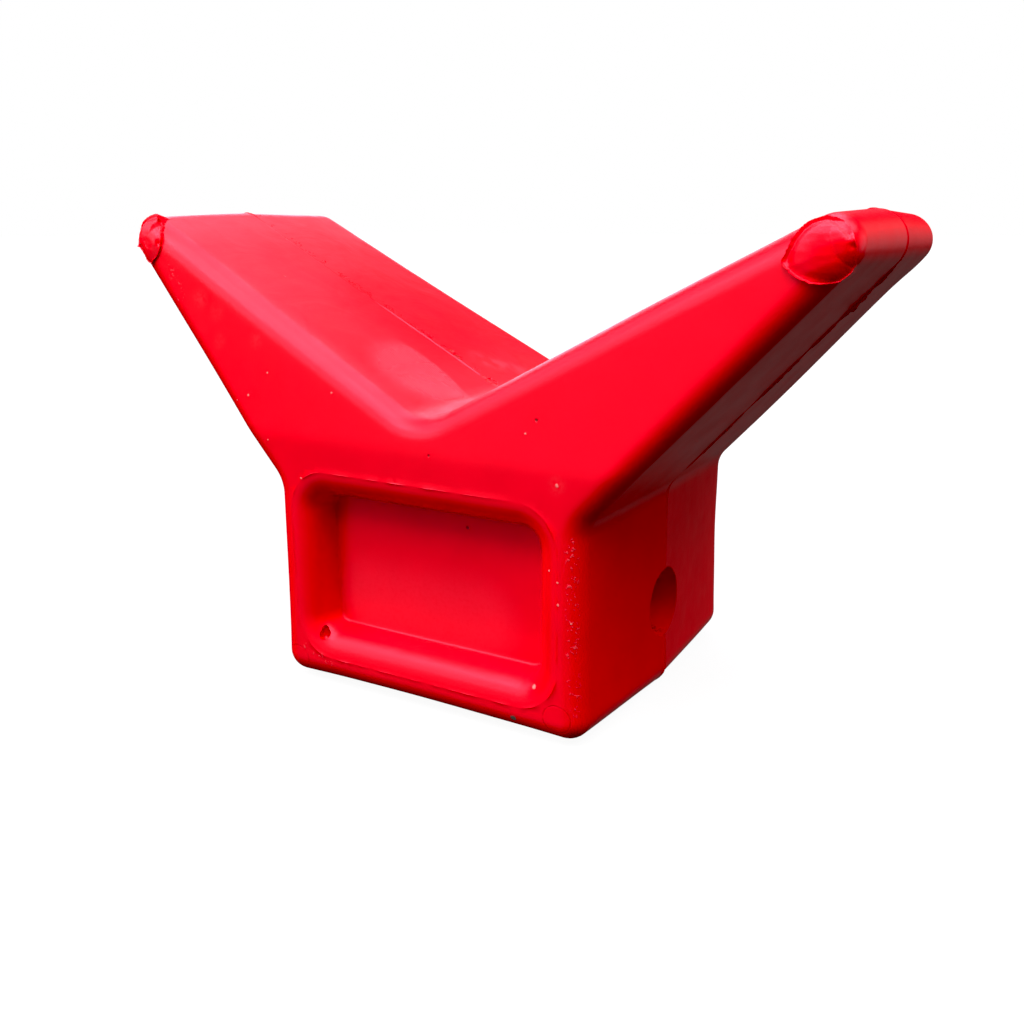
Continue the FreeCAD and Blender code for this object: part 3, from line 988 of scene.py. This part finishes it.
class Recipe:
    """Short ways to add nodes to a material. Heights and places are in millimetres."""

    def __init__(self, material):
        self.nodes = material.node_tree.nodes
        self.links = material.node_tree.links
        coordinates = self.nodes.new("ShaderNodeTexCoord")
        self.place = self.vector("SCALE", coordinates.outputs["Object"])
        self.place.node.inputs["Scale"].default_value = 1 / MM

    def feed(self, socket, value):
        if isinstance(value, bpy.types.NodeSocket):
            self.links.new(value, socket)
        else:
            socket.default_value = value

    def math(self, operation, *values, clamp=False):
        node = self.nodes.new("ShaderNodeMath")
        node.operation = operation
        node.use_clamp = clamp
        for socket, value in zip(node.inputs, values):
            self.feed(socket, value)
        return node.outputs[0]

    def vector(self, operation, *values):
        node = self.nodes.new("ShaderNodeVectorMath")
        node.operation = operation
        for socket, value in zip(node.inputs, values):
            self.feed(socket, value)
        return node.outputs["Value" if operation in ("DISTANCE", "DOT_PRODUCT", "LENGTH") else "Vector"]

    def noise(self, size, detail=2.0, place=None, distortion=0.0):
        """Noise from about 0 to 1, with lumps of a size in millimetres."""
        node = self.nodes.new("ShaderNodeTexNoise")
        self.feed(node.inputs["Vector"], place or self.place)
        node.inputs["Scale"].default_value = 1 / size
        node.inputs["Detail"].default_value = detail
        node.inputs["Distortion"].default_value = distortion
        return node.outputs["Fac"]

    def ramp(self, value, low, high, to_low=0.0, to_high=1.0):
        node = self.nodes.new("ShaderNodeMapRange")
        node.interpolation_type = "SMOOTHSTEP"
        self.feed(node.inputs["Value"], value)
        node.inputs["From Min"].default_value = low
        node.inputs["From Max"].default_value = high
        node.inputs["To Min"].default_value = to_low
        node.inputs["To Max"].default_value = to_high
        return node.outputs["Result"]

    def product(self, *values):
        result = values[0]
        for value in values[1:]:
            result = self.math("MULTIPLY", result, value)
        return result

    def total(self, *values):
        result = values[0]
        for value in values[1:]:
            result = self.math("ADD", result, value)
        return result

    def most(self, values):
        result = values[0]
        for value in values[1:]:
            result = self.math("MAXIMUM", result, value)
        return result

    def blend(self, share, first, second):
        node = self.nodes.new("ShaderNodeMix")
        node.data_type = "RGBA"
        self.feed(node.inputs[0], share)
        self.feed(node.inputs[6], first)
        self.feed(node.inputs[7], second)
        return node.outputs[2]

    def spots(self, marks, torn, softness):
        """1 on each round mark, 0 off them, with ragged edges."""
        found = []
        for x, y, z, radius in marks:
            away = self.vector("DISTANCE", torn, (x, y, z))
            found.append(self.ramp(away, radius * (1 - softness), radius * (1 + softness), 1.0, 0.0))
        return self.most(found)

    def strip(self, start, end, reach):
        """1 along the line between two places, falling to 0 at a reach from it."""
        way = Vector(end) - Vector(start)
        from_start = self.vector("SUBTRACT", self.place, start)
        passed = self.vector("DOT_PRODUCT", from_start, tuple(way))
        along = self.math("DIVIDE", passed, way.length_squared, clamp=True)
        scaled = self.vector("SCALE", tuple(way))
        self.feed(scaled.node.inputs["Scale"], along)
        away = self.vector("DISTANCE", from_start, scaled)
        return self.ramp(away, STRIP_CORE * reach, reach, 1.0, 0.0)


class Marks:
    """Where each kind of mark is on the surface, and where shade and a highlight are painted, as shader
    values: 1 on it and 0 off it.
    """

    def __init__(self, make):
        self.make = make
        parts = make.nodes.new("ShaderNodeSeparateXYZ")
        make.feed(parts.inputs[0], make.place)
        self.x, self.y, self.z = parts.outputs
        geometry = make.nodes.new("ShaderNodeNewGeometry")
        self.facing = make.nodes.new("ShaderNodeSeparateXYZ")
        make.feed(self.facing.inputs[0], geometry.outputs["Normal"])
        self.upward = make.ramp(self.facing.outputs[2], 0.6, 0.85)
        self.lumps = make.noise(0.9, 1.0)
        self.add_specks()
        self.add_seam()
        self.add_pin_rings()
        self.add_tool_marks()
        self.add_wear()

    def add_specks(self):
        """Specks, smudges and scuffs, at places torn a little out of line."""
        make = self.make
        tear_noise = make.nodes.new("ShaderNodeTexNoise")
        make.feed(tear_noise.inputs["Vector"], make.place)
        tear_noise.inputs["Scale"].default_value = TEAR_FREQUENCY
        tear = make.vector("SCALE", tear_noise.outputs["Color"])
        tear.node.inputs["Scale"].default_value = TEAR_REACH
        torn = make.vector("ADD", make.place, tear)
        torn = make.vector("SUBTRACT", torn, (TEAR_REACH / 2, TEAR_REACH / 2, TEAR_REACH / 2))
        self.light_specks = make.spots(LIGHT_SPECKS, torn, SPECK_SOFTNESS)
        self.dark_specks = make.spots(DARK_SPECKS, torn, SPECK_SOFTNESS)
        self.stone = make.spots([STONE_SPECK], torn, STONE_SOFTNESS)
        smudges = make.spots(SMUDGES, torn, SMUDGE_SOFTNESS)
        self.smudges = make.product(smudges, make.ramp(self.lumps, 0.3, 0.7))
        ticks = make.ramp(make.noise(0.8, 2.0, distortion=0.6), 0.58, 0.66)
        scuffs = make.most([make.strip(*scuff) for scuff in SCUFFS])
        self.scuffs = make.product(scuffs, ticks, make.ramp(make.noise(4.0), 0.38, 0.55))

    def add_seam(self):
        """Painted shade along the joint's groove in the cradle and at the right tip, a painted highlight on
        the raised flash line, and the pits behind the joint.
        """
        make = self.make
        near_seam = make.ramp(make.math("ABSOLUTE", self.y), 0.16, 0.42, 1.0, 0.0)
        on_left = make.ramp(self.x, -50.0, -38.0, 0.9, 0.0)
        # patchy painted shade along the seam's groove, left of the cradle's middle
        seam_shade_patches = make.product(make.ramp(make.noise(6.0), 0.35, 0.6), on_left)
        line_start = make.ramp(self.x, -42.0, -34.0)
        line_end = make.ramp(self.x, -12.0, -7.0, 1.0, 0.0)
        # painted highlight along the raised flash line, on upward faces only
        self.raised_line_highlight = make.product(line_start, line_end, near_seam, self.upward)
        high = make.ramp(self.z, TIP_SEAM_START, TIP_SEAM_START + 4)
        on_tip = make.product(make.ramp(self.x, 80.0, 84.0), high)
        near_tip_seam = make.ramp(make.math("ABSOLUTE", self.y), 1.0, 1.7, 1.0, 0.0)
        # where shade is painted along the tip seam's groove, and gloss is lost
        self.tip_seam = make.product(near_tip_seam, on_tip)
        self.painted_seam_shade = make.product(near_seam, seam_shade_patches)
        past_seam = make.ramp(self.y, 0.3, 1.0)
        behind_seam = make.product(past_seam, make.ramp(self.y, 2.2, 3.6, 1.0, 0.0), self.upward)
        pit_grain = make.ramp(make.noise(0.7, 1.0), 0.5, 0.6)
        pit_patches = make.ramp(make.noise(3.5, 1.0), 0.48, 0.56)
        self.pits = make.product(behind_seam, pit_grain, pit_patches)

    def add_pin_rings(self):
        """Rings left by the mould's pins."""
        make = self.make
        rings = []
        for centre in PIN_MARKS:
            off = make.math("SUBTRACT", make.vector("DISTANCE", make.place, centre), PIN_MARK_RADIUS)
            rings.append(make.ramp(make.math("ABSOLUTE", off), 0.05, 0.22, 1.0, 0.0))
        self.pin_rings = make.product(make.most(rings), make.ramp(make.noise(2.5), 0.35, 0.6))

    def add_tool_marks(self):
        """The arcs a tool left in the cradle, and the rubbed strip beside them."""
        make = self.make
        away = make.vector("DISTANCE", make.place, TOOL_MARKS)
        patch = make.ramp(away, 0.55 * TOOL_MARKS_REACH, TOOL_MARKS_REACH, 1.0, 0.0)
        around = make.vector("DISTANCE", make.place, TOOL_MARKS_CENTRE)
        sharp_side = make.ramp(around, TOOL_MARKS_RADIUS - 0.4, TOOL_MARKS_RADIUS + 0.5, 1.0, 0.0)
        self.tool_patch = make.product(patch, make.ramp(self.y, -1.5, -0.5, 1.0, 0.0), sharp_side)
        wobble = make.product(make.noise(7.0), 1.5)
        turns = make.product(make.math("ADD", around, wobble), 2 * math.pi / TOOL_MARKS_PITCH)
        self.tool_waves = make.math("SINE", turns)
        rub_patches = make.ramp(make.noise(4.0, 3.0), 0.35, 0.6)
        self.rubbed = make.product(make.strip(*RUB_MARK), rub_patches, self.upward)

    def add_wear(self):
        """The worn part of the cradle, dullest in its middle, and the dull far rim."""
        make = self.make
        worn = make.product(
            self.upward,
            make.ramp(self.y, -37.0, -30.0, 0.1, 1.0),
            make.ramp(self.x, -84.0, -66.0, 0.5, 1.0),
            make.ramp(self.x, -20.0, -4.0, 1.0, 0.0),
        )
        far_back = make.ramp(self.y, 16.0, 32.0)
        far_corner = make.product(far_back, make.ramp(self.x, -78.0, -60.0, 1.0, 0.0))
        self.worn = make.product(worn, make.math("SUBTRACT", 1.0, far_corner))
        from_middle = make.vector("DISTANCE", make.place, DULLEST)
        near_middle = make.ramp(from_middle, 0.4 * DULLEST_REACH, DULLEST_REACH, 1.0, 0.0)
        self.middle = make.product(self.worn, near_middle)
        facing_left = make.ramp(self.facing.outputs[0], -0.5, -0.2, 1.0, 0.0)
        on_right = make.ramp(self.x, -2.0, 10.0)
        self.rim = make.product(on_right, make.ramp(self.z, 66.0, 71.0), facing_left)
        self.blotches = make.noise(16.0, 3.0, distortion=1.2)
        streak_place = make.vector("MULTIPLY", make.place, (1.0, 0.22, 1.0))
        self.streaks = make.noise(2.6, 2.0, place=streak_place)


def gloss(make, marks):
    dulled = make.total(
        make.product(marks.worn, -DULL_CRADLE),
        make.product(marks.middle, -DULL_MIDDLE),
        make.product(marks.rim, -DULL_RIM),
        make.product(make.most([marks.pits, marks.painted_seam_shade, marks.tip_seam]), -GLOSS),
    )
    return make.math("MAXIMUM", make.total(dulled, GLOSS), LEAST_GLOSS)


def colour(make, marks):
    """Uneven red, with each mark's colour laid over the last: among them painted shade along the seam's
    groove and the tip seam, a painted highlight on the raised flash line and a painted sheen on the recess
    floor.
    """
    waves = make.ramp(marks.tool_waves, -1.0, 1.0, 0.5, 1.0)
    on_floor = make.ramp(marks.y, -34.4, -34.1)
    # painted sheen on the recess floor, mottled
    painted_sheen = make.product(make.strip(*PAINTED_FLOOR_SHEEN), on_floor, make.ramp(marks.lumps, -0.3, 0.7))
    layers = [
        (marks.painted_seam_shade, PAINTED_SEAM_SHADE),
        (marks.tip_seam, TIP_SEAM_SHADE),
        (marks.pits, PITS),
        (make.product(marks.tool_patch, waves), TOOL_MARK),
        (marks.rubbed, RUBBED),
        (marks.raised_line_highlight, RAISED_LINE_HIGHLIGHT),
        (painted_sheen, PAINTED_SHEEN),
        (marks.pin_rings, PIN_RING),
        (marks.smudges, SMUDGE),
        (marks.scuffs, SCUFF),
        (marks.light_specks, LIGHT_SPECK),
        (marks.dark_specks, DARK_SPECK),
        (marks.stone, STONE),
    ]
    result = make.blend(make.ramp(make.noise(11.0, 3.0), 0.3, 0.7), PLAIN_RED, DEEP_RED)
    for where, (tint, strength) in layers:
        share = where if strength == 1 else make.product(where, strength)
        result = make.blend(share, result, tint)
    return result


def roughness(make, marks):
    cradle_blotches = make.product(marks.upward, make.ramp(marks.blotches, 0.35, 0.68))
    return make.total(
        ROUGHNESS,
        make.product(make.ramp(make.noise(9.0, 3.0), 0.3, 0.7), ROUGH_UNEVEN),
        make.product(cradle_blotches, ROUGH_BLOTCHES),
        make.product(marks.streaks, marks.upward, ROUGH_STREAKS),
        make.product(marks.tool_patch, ROUGH_TOOL_MARKS),
        make.product(make.most([marks.pits, marks.scuffs]), ROUGH_PITS),
        make.product(marks.tip_seam, ROUGH_TIP_SEAM),
    )


def relief(make, marks):
    bump = make.nodes.new("ShaderNodeBump")
    bump.inputs["Distance"].default_value = MM
    height = make.total(
        make.product(make.noise(0.5, 1.0), GRAIN_HEIGHT),
        make.product(make.noise(6.0, 2.0), WAVES_HEIGHT),
        make.product(marks.blotches, marks.upward, BLOTCHES_HEIGHT),
        make.product(marks.streaks, marks.upward, STREAKS_HEIGHT),
        make.product(marks.tool_waves, marks.tool_patch, TOOL_MARKS_HEIGHT),
        make.product(marks.pits, PITS_HEIGHT),
        make.product(marks.pin_rings, PIN_RINGS_HEIGHT),
        make.product(make.most([marks.scuffs, marks.light_specks]), SCUFFS_HEIGHT),
        make.product(marks.dark_specks, DARK_SPECKS_HEIGHT),
    )
    make.feed(bump.inputs["Height"], height)
    return bump.outputs["Normal"]


def polyurethane():
    """Satin red polyurethane, as it came out of the mould."""
    material = bpy.data.materials.new(SLOT)
    material.use_nodes = True
    make = Recipe(material)
    marks = Marks(make)
    shader = make.nodes["Principled BSDF"]
    shader.inputs["Specular Tint"].default_value = SPECULAR_TINT
    make.feed(shader.inputs["Specular IOR Level"], gloss(make, marks))
    make.feed(shader.inputs["Base Color"], colour(make, marks))
    make.feed(shader.inputs["Roughness"], roughness(make, marks))
    make.feed(shader.inputs["Normal"], relief(make, marks))
    return material


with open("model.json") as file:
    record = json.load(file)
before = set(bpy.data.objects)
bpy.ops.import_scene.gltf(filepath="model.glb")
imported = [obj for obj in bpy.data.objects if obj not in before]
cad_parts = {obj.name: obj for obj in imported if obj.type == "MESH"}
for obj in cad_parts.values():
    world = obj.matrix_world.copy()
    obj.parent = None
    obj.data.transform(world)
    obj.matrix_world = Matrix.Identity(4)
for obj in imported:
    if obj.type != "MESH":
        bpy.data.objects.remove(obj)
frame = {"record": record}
cad_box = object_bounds()
add_camera()
add_lights()
add_world()
add_floor(cad_box[0][2])
block = build_block(frame)
block.data.materials.clear()
block.data.materials.append(polyurethane())
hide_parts(NODE)
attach(block, "root")
print("triangles", sum(len(p.vertices) - 2 for p in block.data.polygons))
